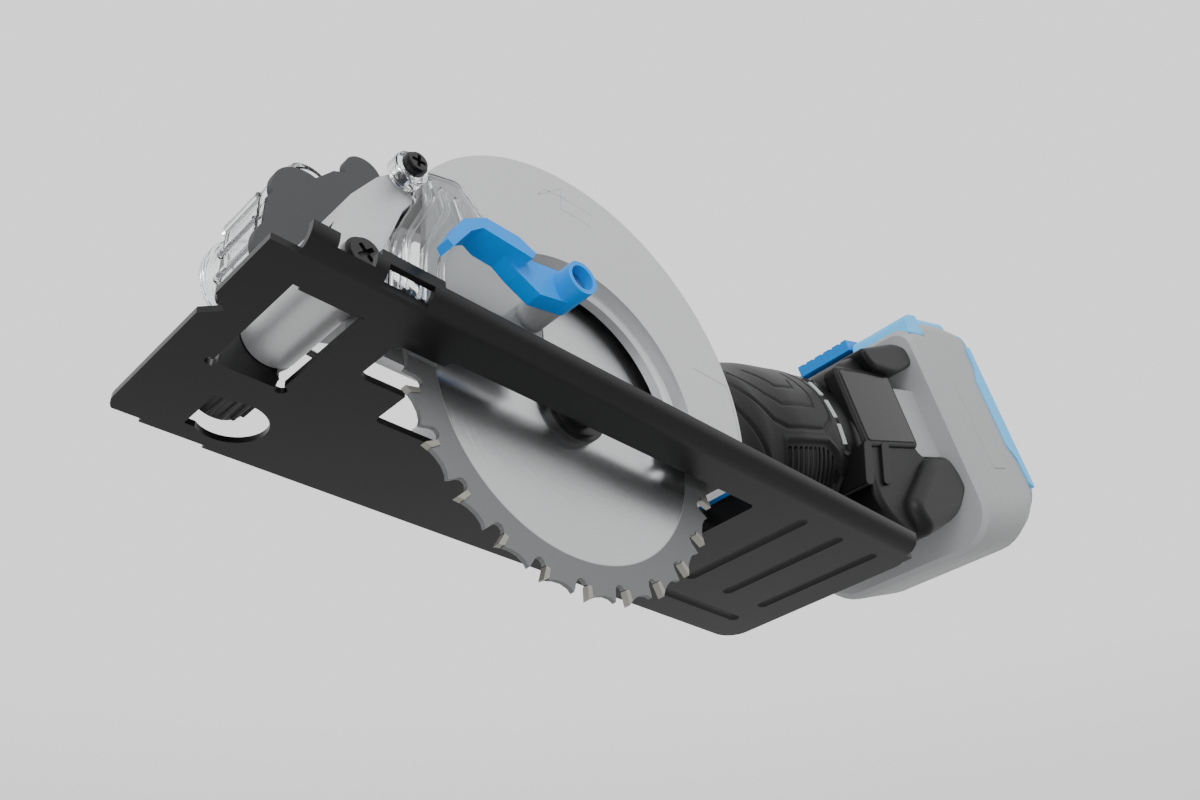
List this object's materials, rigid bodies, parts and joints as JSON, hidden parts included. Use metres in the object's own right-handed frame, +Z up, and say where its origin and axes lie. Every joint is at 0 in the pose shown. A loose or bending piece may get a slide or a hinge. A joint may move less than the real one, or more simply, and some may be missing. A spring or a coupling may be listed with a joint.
{
  "type": "track plunge saw",
  "caption": "Compact cordless plunge saw: stamped guide sole, front-pivoted cast guard and blade, clear dust chute, lever lock, inline motor grip and slide-on battery.",
  "frame": {"origin": "on the sole's underside, in the blade's plane, straight below the arbor with the saw fully plunged", "axes": "+X forward along the cut, +Y toward the blade's outer side, +Z up from the workpiece"},
  "size_m": [0.3414, 0.091, 0.1808],
  "materials": {
    "black_steel": "satin powder coat",
    "black_oxide": "black oxide",
    "silver_casting": "fine silver paint on a casting",
    "grey_casting": "as cast",
    "clear_plastic": "clear polycarbonate",
    "dark_plate": "matt",
    "bronze": "sintered",
    "satin_steel": "satin",
    "blue_plastic": "bright blue",
    "black_plastic": "moulded",
    "blade_steel": "ground and polished",
    "carbide": "brazed carbide",
    "motor_iron": "laminated iron and copper",
    "black_rubber": "soft-touch overmould",
    "gloss_black": "gloss",
    "pale_plastic": "pale grey",
    "sky_plastic": "sky blue",
    "board_green": "circuit board",
    "cell_wrap": "shrink wrap"
  },
  "bodies": {
    "base": {"base_plate": "black_steel", "stop_screw": "black_oxide", "pivot_pin": "black_oxide", "pivot_spacer": "satin_steel", "return_spring": "black_oxide"},
    "clamp_knob": {"clamp_knob": "black_plastic"},
    "saw_head": {"upper_guard": "silver_casting", "guard_rear_panel": "silver_casting", "clear_cover": "clear_plastic", "cover_screws": "black_oxide", "chute_plate": "dark_plate", "dust_chute": "clear_plastic", "pivot_bush": "bronze", "lever_post": "satin_steel", "lever_screw": "satin_steel", "gear_case": "grey_casting", "gear_case_cap": "grey_casting", "cap_screws": "black_oxide", "spindle_bearing_near": "satin_steel", "spindle_bearing_far": "satin_steel", "front_bearing": "satin_steel", "rear_bearing": "satin_steel", "stator": "motor_iron", "grip_shell_near": "black_rubber", "grip_shell_far": "black_rubber", "grip_collar": "blue_plastic", "grip_screws": "black_oxide", "badge_panel": "gloss_black", "gauge_bars": "pale_plastic", "battery_foot": "black_rubber", "terminal_block": "black_plastic", "control_board": "board_green", "switch_body": "black_plastic"},
    "arbor": {"blade": "blade_steel", "carbide_tips": "carbide", "inner_flange": "black_oxide", "outer_flange": "black_oxide", "arbor_bolt": "black_oxide", "spindle": "satin_steel", "ring_gear": "satin_steel"},
    "rotor": {"motor_shaft": "satin_steel", "pinion": "satin_steel", "rotor_core": "motor_iron", "cooling_fan": "black_plastic"},
    "lock_lever": {"lock_lever": "blue_plastic"},
    "trigger": {"trigger": "blue_plastic"},
    "lock_off_button": {"lock_off_button": "blue_plastic"},
    "spindle_lock": {"spindle_lock_button": "black_plastic"},
    "battery": {"battery_case": "pale_plastic", "battery_cover": "sky_plastic", "battery_cells": "cell_wrap", "battery_contacts": "bronze"},
    "battery_latch": {"battery_latch": "blue_plastic"}
  },
  "joints": [
    {"name": "plunge", "type": "hinge", "parent": "base", "child": "saw_head", "pos_m": [0.0655, 0, 0.012], "axis": [0, 1, 0], "range_deg": [0, 41]},
    {"name": "knob_turn", "type": "hinge", "parent": "base", "child": "clamp_knob", "pos_m": [0.0655, -0.044, 0.012], "axis": [0, 1, 0], "range_deg": [-180, 180]},
    {"name": "arbor_spin", "type": "hinge", "parent": "saw_head", "child": "arbor", "pos_m": [0, 0, 0.0074], "axis": [0, 1, 0], "continuous": true},
    {"name": "rotor_spin", "type": "hinge", "parent": "saw_head", "child": "rotor", "pos_m": [0, -0.026, 0.0074], "axis": [-0.9367, 0, 0.3502], "continuous": true},
    {"name": "lever_turn", "type": "hinge", "parent": "saw_head", "child": "lock_lever", "pos_m": [0.0196, 0.02, 0.02], "axis": [0, 1, 0], "range_deg": [-45, 0]},
    {"name": "trigger_press", "type": "slide", "parent": "saw_head", "child": "trigger", "axis": [0.3502, 0, 0.9367], "range_m": [0, 0.0022], "stiffness_N_per_m": 300, "springref_m": -0.003},
    {"name": "lock_off_press", "type": "slide", "parent": "saw_head", "child": "lock_off_button", "axis": [-0.3502, 0, -0.9367], "range_m": [0, 0.0018], "stiffness_N_per_m": 200, "springref_m": -0.003},
    {"name": "spindle_lock_press", "type": "slide", "parent": "saw_head", "child": "spindle_lock", "axis": [-0.4226, 0, -0.9063], "range_m": [0, 0.0012], "stiffness_N_per_m": 200, "springref_m": -0.003},
    {"name": "battery_slide", "type": "slide", "parent": "saw_head", "child": "battery", "axis": [0, 1, 0], "range_m": [0, 0.06]},
    {"name": "latch_press", "type": "slide", "parent": "battery", "child": "battery_latch", "axis": [-0.3502, 0, -0.9367], "range_m": [0, 0.0018], "stiffness_N_per_m": 200, "springref_m": -0.003}
  ],
  "couplings": [
    {"joint": "rotor_spin", "follows": "arbor_spin", "ratio": -2}
  ]
}
